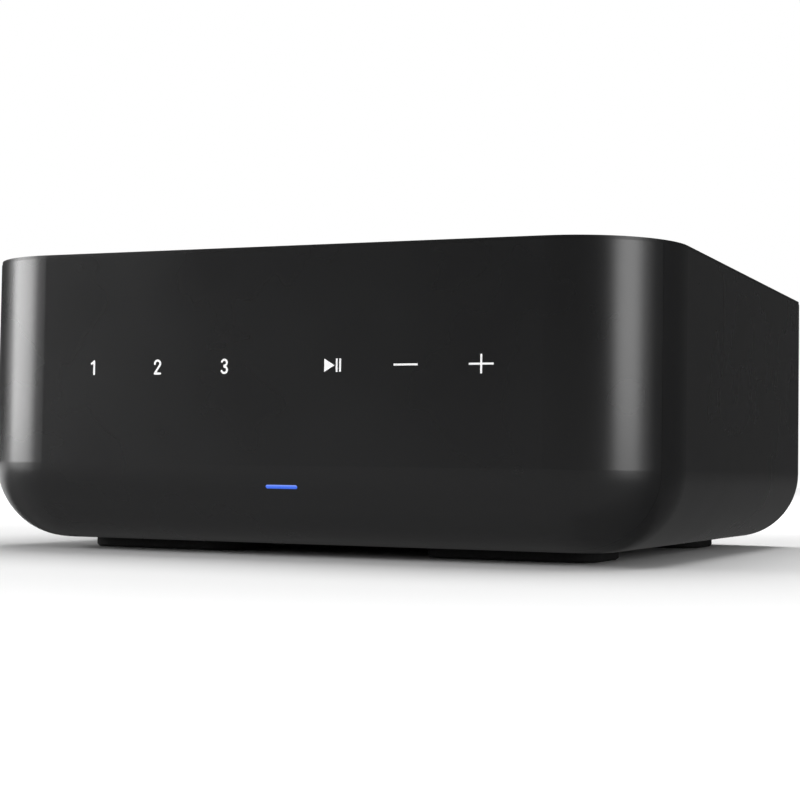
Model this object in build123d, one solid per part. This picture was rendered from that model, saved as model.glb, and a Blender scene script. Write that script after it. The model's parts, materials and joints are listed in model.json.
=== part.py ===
from build123d import *
import os
from math import cos, pi, radians, sin

os.makedirs("parts", exist_ok=True)

# A compact streaming amplifier. Millimetres, +Z up, the front faces -Y, +X is the viewer's right.
# The origin is the centre of the footprint, on the surface that the feet rest on.

# Case
case_width = 200.0
case_depth = 180.0
case_height = 77.5
corner_radius = 28.4
edge_radius = 20.9
wall = 2.6
fascia_depth = 15.8
seam_gap = 0.12
lap_length = 3.2
lap_thickness = 1.2
slip_gap = 0.1
cover_edge = 0.9
cover_set_in = 0.15
cover_rib_depth = 2.4
cover_rib_thickness = 1.4

# Feet
foot_height = 3.0
foot_width = 47.5
foot_length = 31.0
foot_corner = 7.5
foot_side_setback = 48.2
front_foot_setback = 45.0
rear_foot_setback = 153.5
foot_recess = 0.5
foot_chamfer = 0.7

# Screws
screw_radius = 1.5
screw_head_radius = 2.8
screw_head_height = 1.9
screw_fit = 0.02
screw_hole_gap = 0.25
drive_radius = 1.1
drive_depth = 1.1
boss_radius = 3.4
inner_screw_length = 6.0
pilot_spare = 0.6
panel_screw_length = 9.0
case_screw_length = 15.0
screw_well_gap = 0.4
screw_well_wall = 1.6
case_boss_rise = 4.0
case_boss_roof = 2.0

# Fascia tabs, screwed down to bosses on the floor
tab_rise = 4.0
tab_thickness = 2.2
tab_spread = 34.0
tab_half_width = 6.5
tab_screw_setback = 9.0
tab_boss_extra = 1.0

# Touch marks and the status light
mark_height = 49.5
mark_pitch = 20.1
mark_first = 15.6
mark_depth = 0.5
stroke = 0.56
digit_height = 4.0
digit_width = 2.2
one_lean_share = 0.36
one_flag_share = 0.8
two_turn = 25.0
two_lead_in = 5.0
three_upper_share = 0.92
three_sweep = 250.0
three_upper_start = -90.0
three_lower_start = -160.0
sign_length = 6.5
sign_rise = 4.8
sign_stroke = 0.5
play_height = 3.4
play_length = 2.9
bar_pair_width = 1.45
play_gap = 0.35
light_height = 18.4
light_offset = 1.3
light_length = 9.0
light_width = 0.95
light_fit = 0.03

# Touch board
touch_board_width = 140.0
touch_board_bottom = 14.0
touch_board_top = 58.0
touch_board_gap = 5.4
board_thickness = 1.6
electrode_radius = 5.5
electrode_wall = 1.2
led_size = 2.4
led_height = 1.0
touch_boss_spread = 65.6
touch_boss_low = 20.0
touch_boss_high = 54.0

# Rear panel
panel_thickness = 1.6
panel_inset = 1.5
panel_gap = 0.2
flange_width = 3.0
flange_thickness = 2.4
panel_boss_length = 10.0
panel_boss_height = 40.0
panel_boss_inset = 8.0
panel_low_setback = 50.0
panel_low_rise = 4.0
cover_tab_setback = 38.0
cover_tab_drop = 7.5
cover_tab_width = 12.0
cover_tab_thickness = 8.0
socket_gap = 0.3
panel_vent_count = 9
panel_vent_pitch = 4.4
panel_vent_width = 1.8
panel_vent_height = 18.0
panel_vent_setback = 30.0
panel_vent_level = 58.0

# Floor vents
vent_count = 8
vent_pitch = 7.0
vent_width = 2.4
vent_length = 44.0
vent_spread = 46.0
vent_setback = 92.0

# Lower boards
board_rise = 8.0
board_front_setback = 50.0
board_rear_gap = 7.0
board_side_gap = 6.4
boards_apart = 4.0
power_board_share = 0.3
board_hole_inset = 4.5

# Upper board
upper_board_level = 46.0
socket_row_margin = 13.0
upper_board_front_setback = 108.0
standoff_radius = 2.6

# Binding posts
post_pitch = 19.05
post_level = 28.0
pair_pitch = 38.0
core_radius = 3.2
core_bore_radius = 2.0
core_bore_depth = 14.8
core_running_gap = 0.05
collar_radius = 7.2
collar_height = 1.2
washer_radius = 5.8
washer_thickness = 0.8
face_gap = 0.06
cap_radius = 6.5
cap_length = 15.0
cap_tip_recess = 0.8
cap_flutes = 16
flute_radius = 1.0
flute_bite = 0.35
cap_flute_start = 2.0
cross_hole_radius = 1.25
block_margin = 9.0
block_board_gap = 10.0
block_depth = 18.0
block_top_margin = 2.0
core_inner_length = 13.0
solder_pin_radius = 1.0
core_chamfer = 0.4
cap_chamfer = 0.8

# Phono sockets
phono_radius = 4.15
phono_length = 9.5
phono_wall = 0.6
phono_step = 0.2
phono_hole_radius = 1.7
phono_pitch = 15.0
phono_block = 12.4
phono_block_depth = 14.0
phono_socket_depth = 3.0
phono_insert_recess = 0.4
phono_hole_depth = 8.5

# Optical socket
optical_width = 10.0
optical_height = 10.0
optical_depth = 14.0
optical_hole = 6.2
optical_hole_depth = 9.0
optical_proud = 1.2
shutter_thickness = 0.7
shutter_gap = 0.2
shutter_pin_radius = 0.4
shutter_pin_reach = 1.0

# Network socket
network_width = 16.0
network_height = 13.4
network_depth = 21.0
network_port_width = 11.9
network_port_height = 6.9
network_port_rise = 3.6
network_port_depth = 13.0
network_latch_width = 6.2
network_latch_height = 2.2
network_proud = 0.6
contact_count = 8
contact_pitch = 1.02
contact_size = 0.4
contact_drop = 1.9
contact_length = 8.0

# Data socket
data_width = 13.2
data_height = 5.8
data_depth = 14.0
data_wall = 0.35
data_port_depth = 11.5
data_tongue_width = 11.1
data_tongue_thickness = 1.8
data_tongue_drop = 1.0
data_proud = 0.6

# Setup button
button_radius = 2.2
button_proud = 1.2
button_travel = 1.0
button_gap = 0.3
button_stem_radius = 1.2
button_stem_length = 5.5
button_collar_radius = 2.9
button_collar_length = 1.2
button_slack = 0.5
switch_size = 7.0
switch_length = 6.0
button_chamfer = 0.4

# Mains inlet
inlet_board_setback = 23.0
inlet_level = 27.0
inlet_width = 24.0
inlet_height = 16.0
inlet_depth = 19.0
inlet_flange = 2.0
inlet_flange_thickness = 1.2
inlet_lobe_radius = 4.2
inlet_lobe_offset = 3.75
inlet_waist_height = 6.4
inlet_recess = 10.0
inlet_pin_radius = 1.18
inlet_pin_offset = 4.3
inlet_pin_length = 8.0
inlet_pin_tail = 4.0

# Power supply parts
transformer_setback = 52.0
transformer_width = 38.0
transformer_length = 14.0
transformer_height = 30.0
transformer_leg = 5.0
transformer_window = 24.0
winding_length = 28.0
winding_corner = 4.0
capacitor_radius = 9.0
capacitor_height = 32.0
capacitor_inset = 13.0
capacitor_setback = 78.0
capacitor_pitch = 20.0
choke_radius = 10.0
choke_hole_radius = 4.0
choke_height = 13.0
choke_inset = 13.0
sink_inset = 8.0
sink_setback = 10.0
sink_base = 3.0
fin_thickness = 1.4
power_sink_length = 20.0
power_sink_height = 22.0
power_sink_fins = 7

# Amplifier parts
chip_setback = 30.0
chip_spread = 17.0
chip_size = 14.0
chip_height = 3.0
amp_sink_width = 78.0
amp_sink_length = 34.0
amp_sink_height = 20.0
amp_sink_fins = 13
inductor_count = 4
inductor_pitch = 20.0
inductor_size = 14.0
inductor_height = 12.0
inductor_setback = 34.0

# Upper board parts
module_inset = 27.0
module_width = 22.0
module_length = 28.0
module_height = 3.2
module_setback = 14.0
processor_inset = 51.0
processor_size = 21.0
processor_height = 2.2
link_inset = 12.0
link_width = 5.0
link_length = 24.0
link_setback = 12.0

# Antennas and internal leads
antenna_thickness = 1.0
antenna_length = 42.0
antenna_height = 8.0
antenna_level = 46.0
antenna_setback = 44.0
lead_radius = 0.65
lead_bend = 12.0
lead_turn = 5.0
lead_level = 64.0
ribbon_width = 12.0
ribbon_thickness = 0.3
ribbon_middle = 14.0
ribbon_low = 46.0
ribbon_high = 62.0
ribbon_run = 10.0
ribbon_turn = 3.0
supply_setback = 22.0
supply_pitch = 2.6
supply_wires = 4
supply_radius = 0.9
supply_rise = 9.0
supply_inset = 3.5
supply_turn = 3.0

# Places worked out from the sizes above
cap_reach = collar_height + washer_thickness + 2 * face_gap + cap_length - panel_inset
overall_depth = case_depth + cap_reach
y_front = -overall_depth / 2
y_back = y_front + case_depth
y_seam = y_front + fascia_depth
z_under = foot_height
z_top = foot_height + case_height
z_floor = z_under + wall
z_rim = z_top - cover_edge
x_side = case_width / 2
y_panel_out = y_back - panel_inset
y_panel_in = y_panel_out - panel_thickness
z_board = z_floor + board_rise
z_board_top = z_board + board_thickness
y_board_front = y_front + board_front_setback
y_board_rear = y_panel_in - board_rear_gap
z_upper_top = upper_board_level + board_thickness
y_upper_front = y_front + upper_board_front_setback
y_front_wall = y_front + wall
y_touch_front = y_front_wall + touch_board_gap
y_touch_back = y_touch_front + board_thickness
pilot_radius = screw_radius + screw_fit
far = 2 * case_width
foot_spread = x_side - foot_side_setback
panel_low_spread = x_side - panel_low_setback
cover_tab_spread = x_side - cover_tab_setback
panel_vent_middle = panel_vent_setback - x_side

# The boards share the width of the floor
main_board_right = x_side - wall - board_side_gap
power_board_left = -main_board_right
power_board_right = power_board_left + power_board_share * (2 * main_board_right - boards_apart)
main_board_left = power_board_right + boards_apart
main_board_middle = (main_board_left + main_board_right) / 2
inlet_middle = power_board_left + inlet_board_setback
module_middle = main_board_left + module_inset
processor_middle = main_board_right - processor_inset

# Speaker posts and the subwoofer output along the main board
post_pair_first = main_board_left + block_board_gap + block_margin
post_pair_second = post_pair_first + pair_pitch
posts = {
    "left_minus": post_pair_first,
    "left_plus": post_pair_first + post_pitch,
    "right_minus": post_pair_second,
    "right_plus": post_pair_second + post_pitch,
}
block_left = posts["left_minus"] - block_margin
block_right = posts["right_plus"] + block_margin
sub_out_middle = (block_right + main_board_right - 2 * board_hole_inset) / 2

# The upper row of sockets is spread evenly along the upper board
row_widths = [phono_pitch + phono_block, optical_width, network_width, data_width, switch_size]
row_room = main_board_right - main_board_left - 2 * socket_row_margin
row_gap = (row_room - sum(row_widths)) / (len(row_widths) - 1)
row_middles = [
    main_board_left + socket_row_margin + sum(row_widths[:place]) + place * row_gap + width / 2
    for place, width in enumerate(row_widths)
]
line_in_middle, optical_middle, network_middle, data_middle, button_middle = row_middles


def block(x0, x1, y0, y1, z0, z1):
    """A box between two corners."""
    size = Box(x1 - x0, y1 - y0, z1 - z0)
    return Pos((x0 + x1) / 2, (y0 + y1) / 2, (z0 + z1) / 2) * size


def rod_y(x, z, radius, y0, y1):
    """A round bar along Y."""
    return Pos(x, (y0 + y1) / 2, z) * Rot(90, 0, 0) * Cylinder(radius, y1 - y0)


def rod_z(x, y, radius, z0, z1):
    """A round bar along Z."""
    return Pos(x, y, (z0 + z1) / 2) * Cylinder(radius, z1 - z0)


def rod_x(y, z, radius, x0, x1):
    """A round bar along X."""
    return Pos((x0 + x1) / 2, y, z) * Rot(0, 90, 0) * Cylinder(radius, x1 - x0)


def keep(name, *solids):
    """Write one node, as one solid or as a group of separate solids."""
    shape = solids[0] if len(solids) == 1 else Compound(children=list(solids))
    shape.label = name
    export_step(shape, f"parts/{name}.step")


def case_form(inset, top):
    """The case's outer shape, drawn in by an inset: round front corners and a round lower edge."""
    half = x_side - inset
    front = y_front + inset
    back = y_back
    bend = corner_radius - inset
    with BuildSketch(Plane.XY.offset(z_under + inset)) as plan:
        with BuildLine():
            Polyline((half, front + bend), (half, back), (-half, back), (-half, front + bend))
            RadiusArc((-half, front + bend), (-half + bend, front), -bend)
            Line((-half + bend, front), (half - bend, front))
            RadiusArc((half - bend, front), (half, front + bend), -bend)
        make_face()
    form = extrude(plan.sketch, top - z_under - inset)
    low = form.faces().sort_by(Axis.Z)[0].edges()
    rounded = low.sort_by(Axis.Y)[:-1]
    return fillet(rounded, edge_radius - inset)


def slab_y(y0, y1):
    """All of the space between two planes square to Y."""
    return block(-far, far, y0, y1, -far, far)


outer = case_form(0, z_rim)
inner = case_form(wall, z_top + wall)
mid_wall = case_form(wall / 2, z_rim)
lap_outer = case_form(wall + slip_gap, z_rim)
lap_inner = case_form(wall + slip_gap + lap_thickness, z_top + wall)


def screw_down(x, y, z_seat, length):
    """A screw that points down, with its head on a seat."""
    head = rod_z(x, y, screw_head_radius, z_seat, z_seat + screw_head_height)
    shank = rod_z(x, y, screw_radius, z_seat - length, z_seat)
    drive = Pos(x, y, z_seat + screw_head_height) * extrude(RegularPolygon(drive_radius, 6), -drive_depth)
    return head + shank - drive


def screw_up(x, y, z_seat, length):
    """A screw that points up, with its head below the seat."""
    return Pos(x, y, z_seat) * Rot(180, 0, 0) * screw_down(0, 0, 0, length)


def screw_front(x, y_seat, z, length):
    """A screw that points to the front, with its head behind the seat."""
    return Pos(x, y_seat, z) * Rot(-90, 0, 0) * screw_down(0, 0, 0, length)


# Where screws go
power_board_holes = [
    (x, y)
    for x in (power_board_left + board_hole_inset, power_board_right - board_hole_inset)
    for y in (y_board_front + board_hole_inset, y_board_rear - board_hole_inset)
]
main_board_holes = [
    (main_board_left + board_hole_inset, y_board_front + board_hole_inset),
    (main_board_right - board_hole_inset, y_board_front + board_hole_inset),
]
upper_board_holes = [
    (x, y)
    for x in (main_board_left + board_hole_inset, main_board_right - board_hole_inset)
    for y in (y_upper_front + board_hole_inset, y_board_rear - board_hole_inset)
]
floor_bosses = power_board_holes + main_board_holes + upper_board_holes
touch_bosses = [
    (side * touch_boss_spread, z)
    for side in (-1, 1)
    for z in (touch_boss_low, touch_boss_high)
]
panel_side_bosses = [(side * (x_side - panel_boss_inset), panel_boss_height) for side in (-1, 1)]
panel_low_bosses = [(side * panel_low_spread, z_floor + panel_low_rise) for side in (-1, 1)]
cover_tabs = [(side * cover_tab_spread, z_rim - cover_tab_drop) for side in (-1, 1)]
y_front_foot = y_front + front_foot_setback
y_rear_foot = y_front + rear_foot_setback
foot_places = {
    "foot_front_left": (-foot_spread, y_front_foot),
    "foot_front_right": (foot_spread, y_front_foot),
    "foot_rear_left": (-foot_spread, y_rear_foot),
    "foot_rear_right": (foot_spread, y_rear_foot),
}
case_screw_places = [(side * foot_spread, y_front_foot) for side in (-1, 1)]
tab_bosses = [(side * tab_spread, y_seam + tab_screw_setback) for side in (-1, 1)]
case_boss_top = z_floor + case_boss_rise
tab_level = z_floor + tab_rise


# Touch marks
def stroke_line(start, end, width):
    """A straight stroke with round ends."""
    run = Vector(*end) - Vector(*start)
    middle = (Vector(*start) + Vector(*end)) * 0.5
    angle = Vector(1, 0).get_signed_angle(run, Vector(0, 0, 1))
    return Pos(middle.X, middle.Y) * Rot(0, 0, angle) * SlotCenterToCenter(run.length, width)


def stroke_arc(centre, radius, start, size, width):
    """A curved stroke with round ends."""
    return SlotArc(CenterArc(centre, radius, start, size), width)


def digit_one():
    high = (digit_height - stroke) / 2
    lean = digit_width * one_lean_share
    stem = stroke_line((lean / 2, -high), (lean / 2, high), stroke)
    return stem + stroke_line((lean / 2, high), (-lean / 2, high - lean * one_flag_share), stroke)


def digit_two():
    high = (digit_height - stroke) / 2
    reach = (digit_width - stroke) / 2
    bowl = stroke_arc((0, high - reach), reach, -two_turn, 180 + two_turn + two_lead_in, stroke)
    shoulder = (reach * cos(radians(two_turn)), high - reach - reach * sin(radians(two_turn)))
    slope = stroke_line(shoulder, (-reach, -high), stroke)
    return bowl + slope + stroke_line((-reach, -high), (reach, -high), stroke)


def digit_three():
    high = (digit_height - stroke) / 2
    reach = (digit_width - stroke) / 2
    small = reach * three_upper_share
    large = high - small
    upper = stroke_arc((0, high - small), small, three_upper_start, three_sweep, stroke)
    lower_bend = min(large, reach)
    lower = stroke_arc((0, -high + lower_bend), lower_bend, three_lower_start, three_sweep, stroke)
    waist = stroke_line((0, high - 2 * small), (0, -high + 2 * lower_bend), stroke)
    return upper + lower + waist


def play_pause():
    width = play_length + play_gap + bar_pair_width
    left = -width / 2
    half = play_height / 2
    arrow = Polygon((left, -half), (left, half), (left + play_length, 0), align=None)
    bars = Sketch()
    for edge in (left + play_length + play_gap, left + width - sign_stroke):
        bars += Pos(edge + sign_stroke / 2, 0) * Rectangle(sign_stroke, play_height)
    return arrow + bars


def minus_sign():
    return Rectangle(sign_length, sign_stroke)


def plus_sign():
    return Rectangle(sign_length, sign_stroke) + Rectangle(sign_stroke, sign_rise)


mark_places = [side * (mark_first + step * mark_pitch) for side, step in
               ((-1, 2), (-1, 1), (-1, 0), (1, 0), (1, 1), (1, 2))]
mark_shapes = [digit_one(), digit_two(), digit_three(), play_pause(), minus_sign(), plus_sign()]
mark_plane = Plane(origin=(0, y_front + mark_depth, mark_height), x_dir=(1, 0, 0), z_dir=(0, -1, 0))
marks = []
for place, shape in zip(mark_places, mark_shapes):
    drawn = mark_plane * (Pos(place, 0) * shape)
    marks += extrude(drawn, mark_depth, dir=(0, -1, 0)).solids()
keep("touch_marks", *marks)


def light_slot(grow, y0, y1):
    """The status light's slot, as a bar from y0 to y1."""
    plane = Plane(origin=(light_offset, y1, light_height), x_dir=(1, 0, 0), z_dir=(0, -1, 0))
    return extrude(plane * SlotOverall(light_length + 2 * grow, light_width + 2 * grow), y1 - y0)


# The status LED is lit through the bar, which is flush with the curved front.
y_status_led = y_touch_front - led_height
light_bar = light_slot(0, y_front - 1, y_status_led) & outer
keep("status_light_bar", light_bar)


# Front fascia
def make_fascia():
    shell = (outer - inner) & slab_y(y_front - 1, y_seam)
    shell += (outer - lap_inner) & slab_y(y_seam - lap_length, y_seam)
    lip = (lap_outer - lap_inner) & slab_y(y_seam - lap_length, y_seam + lap_length)
    shell += lip & block(-far, far, -far, far, -far, z_rim - cover_rib_depth - 2 * slip_gap)
    for x, z in touch_bosses:
        shell += rod_y(x, z, boss_radius, y_front, y_touch_front) & mid_wall
    for side in (-1, 1):
        middle = side * tab_spread
        tab = block(middle - tab_half_width, middle + tab_half_width, y_front,
                    y_seam + tab_screw_setback + tab_half_width, tab_level, tab_level + tab_thickness)
        shell += tab & mid_wall
    for side in (-1, 1):
        shell -= rod_z(side * tab_spread, y_seam + tab_screw_setback, screw_radius + screw_hole_gap,
                       tab_level - 1, tab_level + tab_thickness + 1)
    for x, z in touch_bosses:
        shell -= rod_y(x, z, pilot_radius, y_touch_back - inner_screw_length - pilot_spare,
                       y_touch_front + 1)
    rib_room = case_form(wall, z_top) - case_form(wall + cover_rib_thickness + 3 * slip_gap, z_top)
    shell -= rib_room & block(-far, far, -far, far, z_rim - cover_rib_depth - slip_gap, z_top)
    for mark in marks:
        shell -= mark
    return shell - light_slot(light_fit, y_front - 1, y_status_led)


keep("front_fascia", make_fascia())


# Case body: both sides and the floor in one piece
def make_case_body():
    shell = (outer - inner) & slab_y(y_seam + seam_gap, y_back)
    flange = outer - case_form(wall + flange_width, z_top + wall)
    flange = flange & slab_y(y_panel_in - flange_thickness, y_panel_in)
    shell += flange & block(-far, far, -far, far, -far, z_rim - cover_rib_depth - 2 * slip_gap)
    y_boss = y_panel_in - panel_boss_length
    for x, z in panel_side_bosses:
        web = block(min(x, x * far), max(x, x * far), y_boss, y_panel_in, z - boss_radius, z + boss_radius)
        shell += (rod_y(x, z, boss_radius, y_boss, y_panel_in) + web) & mid_wall
    for x, z in panel_low_bosses:
        web = block(x - boss_radius, x + boss_radius, y_boss, y_panel_in, z_under, z)
        shell += (rod_y(x, z, boss_radius, y_boss, y_panel_in) + web) & mid_wall
    for x, y in floor_bosses:
        shell += rod_z(x, y, boss_radius, z_under, z_board) & mid_wall
    for x, y in tab_bosses:
        shell += rod_z(x, y, boss_radius + tab_boss_extra, z_under, tab_level) & mid_wall
    well_radius = screw_head_radius + screw_well_gap
    for x, y in case_screw_places:
        shell += rod_z(x, y, well_radius + screw_well_wall, z_under, case_boss_top) & mid_wall
    for x, z in panel_side_bosses + panel_low_bosses:
        shell -= rod_y(x, z, pilot_radius, y_panel_in - panel_screw_length, y_panel_in + 1)
    for x, y in floor_bosses:
        shell -= rod_z(x, y, pilot_radius, z_board_top - inner_screw_length - pilot_spare, z_board + 1)
    for x, y in tab_bosses:
        z_end = tab_level + tab_thickness - inner_screw_length - pilot_spare
        shell -= rod_z(x, y, pilot_radius, z_end, tab_level + 1)
    for x, y in case_screw_places:
        shell -= rod_z(x, y, screw_radius + screw_hole_gap, z_under - 1, case_boss_top + 1)
        shell -= rod_z(x, y, well_radius, z_under - 1, case_boss_top - case_boss_roof)
    foot_room = RectangleRounded(foot_width + 2 * slip_gap, foot_length + 2 * slip_gap, foot_corner)
    for x, y in foot_places.values():
        shell -= Pos(x, y, z_under - 1) * extrude(foot_room, 1 + foot_recess)
    vent = Rot(0, 0, 90) * SlotOverall(vent_length, vent_width)
    for side in (-1, 1):
        for step in range(vent_count):
            x = side * vent_spread + (step - (vent_count - 1) / 2) * vent_pitch
            shell -= Pos(x, y_front + vent_setback, z_under - 1) * extrude(vent, wall + 2)
    return shell


keep("case_body", make_case_body())


# Top cover
def make_top_cover():
    cover = case_form(cover_set_in, z_top) & block(-far, far, -far, far, z_rim, z_top)
    rib_outer = case_form(wall + slip_gap, z_rim)
    rib_inner = case_form(wall + slip_gap + cover_rib_thickness, z_top)
    rib = (rib_outer - rib_inner) & slab_y(y_front, y_panel_in - flange_thickness - slip_gap)
    cover += rib & block(-far, far, -far, far, z_rim - cover_rib_depth, z_rim)
    for x, y in case_screw_places:
        cover += rod_z(x, y, boss_radius + tab_boss_extra, case_boss_top + slip_gap, z_rim)
    for x, z in cover_tabs:
        cover += block(x - cover_tab_width / 2, x + cover_tab_width / 2, y_panel_in - cover_tab_thickness,
                       y_panel_in - slip_gap, z - boss_radius, z_rim)
    for x, y in case_screw_places:
        cover -= rod_z(x, y, pilot_radius, case_boss_top - 1, case_boss_top + case_screw_length)
    for x, z in cover_tabs:
        cover -= rod_y(x, z, pilot_radius, y_panel_in - cover_tab_thickness - 1, y_panel_in + 1)
    return cover


keep("top_cover", make_top_cover())


# Feet
def make_foot(x, y):
    pad = extrude(RectangleRounded(foot_width, foot_length, foot_corner), foot_height + foot_recess)
    sole = pad.faces().sort_by(Axis.Z)[0].edges()
    return Pos(x, y, 0) * chamfer(sole, foot_chamfer)


for name, (x, y) in foot_places.items():
    keep(name, make_foot(x, y))


# Posts, sockets and the rear panel's cut-outs
y_collar = y_panel_out + collar_height
y_washer = y_collar + face_gap
y_cap = y_washer + washer_thickness + face_gap
y_cap_end = y_cap + cap_length
y_core_end = y_cap_end - cap_tip_recess
z_block_top = post_level + collar_radius + block_top_margin
y_solder_pin = y_panel_in - core_inner_length + 2 * solder_pin_radius


def make_terminal_block():
    base = block(block_left, block_right, y_panel_in - block_depth, y_panel_in, z_board_top, z_block_top)
    for x in posts.values():
        base += rod_y(x, post_level, collar_radius, y_panel_in, y_collar)
    for x in posts.values():
        base -= rod_y(x, post_level, core_radius + screw_fit, y_panel_in - core_inner_length, y_collar + 1)
        base -= rod_z(x, y_solder_pin, solder_pin_radius + screw_fit, z_board, post_level)
    return base


def make_core(x):
    core = rod_y(x, post_level, core_radius, y_panel_in - core_inner_length, y_core_end)
    core += rod_z(x, y_solder_pin, solder_pin_radius, z_board_top, post_level)
    core = chamfer(core.edges().filter_by(GeomType.CIRCLE).sort_by(Axis.Y)[-1], core_chamfer)
    core -= rod_y(x, post_level, core_bore_radius, y_core_end - core_bore_depth, y_core_end + 1)
    return core - rod_z(x, y_washer + washer_thickness + cross_hole_radius + face_gap, cross_hole_radius,
                        post_level - far, post_level + far)


def make_washer(x):
    ring = rod_y(x, post_level, washer_radius, y_washer, y_washer + washer_thickness)
    return ring - rod_y(x, post_level, core_radius + core_running_gap, y_washer - 1, y_cap)


def make_cap(x):
    cap = rod_y(x, post_level, cap_radius, y_cap, y_cap_end)
    cap = chamfer(cap.edges().filter_by(GeomType.CIRCLE).sort_by(Axis.Y)[-1], cap_chamfer)
    for step in range(cap_flutes):
        turn = 2 * pi * step / cap_flutes
        reach = cap_radius + flute_radius - flute_bite
        cap -= rod_y(x + reach * cos(turn), post_level + reach * sin(turn), flute_radius,
                     y_cap + cap_flute_start, y_cap_end + 1)
    return cap - rod_y(x, post_level, core_radius + core_running_gap, y_cap - 1, y_cap_end + 1)


keep("terminal_block", make_terminal_block())
keep("post_cores", *[make_core(x) for x in posts.values()])
for name, x in posts.items():
    keep(f"post_washer_{name}", make_washer(x))
    keep(f"post_cap_{name}", make_cap(x))


# Phono sockets: the line input pair on the upper board and the subwoofer output on the main board
z_line_in = z_upper_top + phono_block / 2
phono_places = [
    (line_in_middle - phono_pitch / 2, z_line_in),
    (line_in_middle + phono_pitch / 2, z_line_in),
    (sub_out_middle, post_level),
]
y_phono_root = y_panel_in - phono_socket_depth
y_phono_tip = y_panel_out + phono_length
phono_neck_radius = phono_radius - phono_step


def make_phono_housing(x0, x1, z0, z1, places):
    housing = block(x0, x1, y_panel_in - phono_block_depth, y_panel_in, z0, z1)
    for x, z in places:
        housing -= rod_y(x, z, phono_neck_radius + screw_fit, y_phono_root, y_panel_in + 1)
    return housing


def make_phono_barrel(x, z):
    ring = rod_y(x, z, phono_radius, y_panel_out, y_phono_tip)
    ring = chamfer(ring.edges().filter_by(GeomType.CIRCLE).sort_by(Axis.Y)[-1], phono_wall / 2)
    ring += rod_y(x, z, phono_neck_radius, y_phono_root, y_panel_out)
    return ring - rod_y(x, z, phono_radius - phono_wall, y_phono_root - 1, y_phono_tip + 1)


def make_phono_insert(x, z):
    y_face = y_phono_tip - phono_insert_recess
    core = rod_y(x, z, phono_radius - phono_wall - screw_fit, y_phono_root, y_face)
    return core - rod_y(x, z, phono_hole_radius, y_face - phono_hole_depth, y_face + 1)


half_block = phono_block / 2
keep("line_in_housing", make_phono_housing(
    phono_places[0][0] - half_block, phono_places[1][0] + half_block,
    z_upper_top, z_upper_top + phono_block, phono_places[:2]))
keep("sub_out_housing", make_phono_housing(
    sub_out_middle - half_block, sub_out_middle + half_block,
    z_board_top, post_level + half_block, phono_places[2:]))
keep("phono_barrels", *[make_phono_barrel(x, z) for x, z in phono_places])
for name, place in zip(("line_in_insert_left", "line_in_insert_right", "sub_out_insert"), phono_places):
    keep(name, make_phono_insert(*place))


# Optical socket with its sprung shutter
z_optical = z_upper_top + optical_height / 2
y_optical_face = y_panel_out + optical_proud
hole_half = optical_hole / 2
z_shutter_pin = z_optical + hole_half - shutter_gap - shutter_thickness / 2
y_shutter_pin = y_optical_face - shutter_gap - shutter_thickness / 2


def make_optical_housing():
    half = optical_width / 2
    housing = block(optical_middle - half, optical_middle + half, y_optical_face - optical_depth,
                    y_optical_face, z_upper_top, z_upper_top + optical_height)
    housing -= block(optical_middle - hole_half, optical_middle + hole_half,
                     y_optical_face - optical_hole_depth, y_optical_face + 1,
                     z_optical - hole_half, z_optical + hole_half + shutter_gap)
    reach = hole_half + shutter_pin_reach + shutter_gap
    return housing - rod_x(y_shutter_pin, z_shutter_pin, shutter_pin_radius + core_running_gap,
                           optical_middle - reach, optical_middle + reach)


def make_shutter():
    half = hole_half - shutter_gap
    leaf = block(optical_middle - half, optical_middle + half, y_shutter_pin - shutter_thickness / 2,
                 y_shutter_pin + shutter_thickness / 2, z_optical - hole_half + shutter_gap, z_shutter_pin)
    leaf += rod_x(y_shutter_pin, z_shutter_pin, shutter_thickness / 2,
                  optical_middle - half, optical_middle + half)
    reach = hole_half + shutter_pin_reach
    return leaf + rod_x(y_shutter_pin, z_shutter_pin, shutter_pin_radius,
                        optical_middle - reach, optical_middle + reach)


keep("optical_housing", make_optical_housing())
keep("optical_shutter", make_shutter())


# Network socket
z_port = z_upper_top + network_port_rise
y_network_face = y_panel_out + network_proud


def make_network_jack():
    half = network_width / 2
    jack = block(network_middle - half, network_middle + half,
                 y_network_face - network_depth, y_network_face,
                 z_upper_top, z_upper_top + network_height)
    y_end = y_network_face - network_port_depth
    jack -= block(network_middle - network_port_width / 2, network_middle + network_port_width / 2,
                  y_end, y_network_face + 1, z_port, z_port + network_port_height)
    return jack - block(network_middle - network_latch_width / 2, network_middle + network_latch_width / 2,
                        y_end, y_network_face + 1, z_port - network_latch_height, z_port + 1)


def make_contact(x):
    roof = z_port + network_port_height
    y_root = y_network_face - network_port_depth
    with BuildSketch(Plane.YZ) as side:
        Polygon((y_root, roof), (y_root, roof - contact_drop), (y_root + contact_size, roof - contact_drop),
                (y_root + contact_length, roof), align=None)
    return Pos(x - contact_size / 2, 0, 0) * extrude(side.sketch, contact_size)


contacts = [
    network_middle + (step - (contact_count - 1) / 2) * contact_pitch
    for step in range(contact_count)
]
keep("network_jack", make_network_jack())
keep("network_contacts", *[make_contact(x) for x in contacts])


# Data socket
y_data_face = y_panel_out + data_proud
z_data_top = z_upper_top + data_height


def make_data_shell():
    half = data_width / 2
    shell = block(data_middle - half, data_middle + half, y_data_face - data_depth, y_data_face,
                  z_upper_top, z_data_top)
    return shell - block(data_middle - half + data_wall, data_middle + half - data_wall,
                         y_data_face - data_depth - 1, y_data_face + 1,
                         z_upper_top + data_wall, z_data_top - data_wall)


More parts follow.
